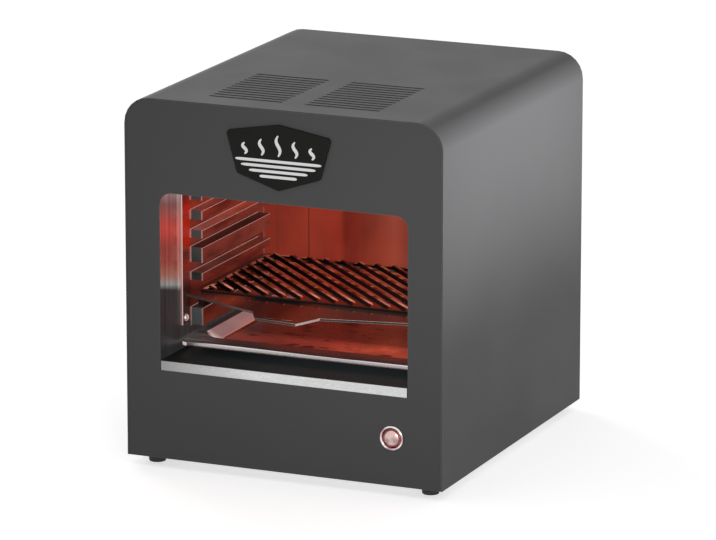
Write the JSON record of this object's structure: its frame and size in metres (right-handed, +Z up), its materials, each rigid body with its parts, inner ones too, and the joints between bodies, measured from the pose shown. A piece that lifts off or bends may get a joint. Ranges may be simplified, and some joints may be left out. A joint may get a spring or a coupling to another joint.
{
  "type": "electric top-heat grill",
  "caption": "Open-fronted electric top-heat grill: rounded grey steel housing, stainless racks, slanted-bar grate, drip pan and push button.",
  "frame": {"origin": "centre of the bounding box's base, on the plane the feet stand on", "axes": "+Z up, +Y from the open front towards the back, +X to the right seen from the front"},
  "size_m": [0.36, 0.4228, 0.3985],
  "materials": {
    "bar_iron": "satin",
    "black_enamel": "satin",
    "black_plastic": "satin",
    "black_rubber": "matte",
    "brushed_steel": "satin",
    "ceramic": "matte",
    "ceramic_wool": "matte",
    "chrome": "polished",
    "dark_steel": "polished",
    "galvanised_steel": "matte",
    "grey_paint": "satin",
    "hot_rod": "matte",
    "polished_steel": "polished",
    "red_lens": "gloss"
  },
  "bodies": {
    "grill": {"badge_plate": "black_enamel", "base_plate": "galvanised_steel", "chamber_back": "polished_steel", "chamber_floor": "black_enamel", "chamber_support_left": "galvanised_steel", "chamber_support_right": "galvanised_steel", "chamber_wall_left": "polished_steel", "chamber_wall_right": "polished_steel", "element_bar_front": "brushed_steel", "element_bar_rear": "brushed_steel", "element_end_left": "ceramic", "element_end_right": "ceramic", "foot_front_left": "black_rubber", "foot_front_right": "black_rubber", "foot_rear_left": "black_rubber", "foot_rear_right": "black_rubber", "foot_screw_front_left": "galvanised_steel", "foot_screw_front_right": "galvanised_steel", "foot_screw_rear_left": "galvanised_steel", "foot_screw_rear_right": "galvanised_steel", "front_panel": "grey_paint", "heat_shield": "galvanised_steel", "heating_element": "hot_rod", "housing_wrap": "grey_paint", "inlet_screw_left": "galvanised_steel", "inlet_screw_right": "galvanised_steel", "insulation_left": "ceramic_wool", "insulation_right": "ceramic_wool", "insulation_top": "ceramic_wool", "power_inlet": "black_plastic", "rack_bolt_front_left": "polished_steel", "rack_bolt_front_right": "polished_steel", "rack_bolt_rear_left": "polished_steel", "rack_bolt_rear_right": "polished_steel", "rack_left": "polished_steel", "rack_right": "polished_steel", "rear_panel": "grey_paint", "rear_screw_left": "galvanised_steel", "rear_screw_right": "galvanised_steel", "reflector": "polished_steel", "sill_strip": "brushed_steel", "switch_bezel": "chrome", "switch_body": "black_plastic", "switch_light_ring": "red_lens", "switch_nut": "chrome", "terminal_block": "ceramic", "thermal_cutout": "ceramic", "wire_element_left": "black_rubber", "wire_element_right": "black_rubber", "wire_inlet": "black_rubber", "wire_switch": "black_rubber"},
    "button": {"switch_cap": "brushed_steel"},
    "grate": {"grate_frame": "dark_steel", "grate_bars": "bar_iron"},
    "pan": {"drip_pan": "brushed_steel"}
  },
  "joints": [
    {"name": "button_press", "type": "slide", "parent": "grill", "child": "button", "axis": [0, 1, 0], "range_m": [0, 0.0015], "stiffness_N_per_m": 500},
    {"name": "grate_slide", "type": "slide", "parent": "grill", "child": "grate", "axis": [0, -1, 0], "range_m": [0, 0.165]},
    {"name": "pan_slide", "type": "slide", "parent": "grill", "child": "pan", "axis": [0, -1, 0], "range_m": [0, 0.24]}
  ]
}
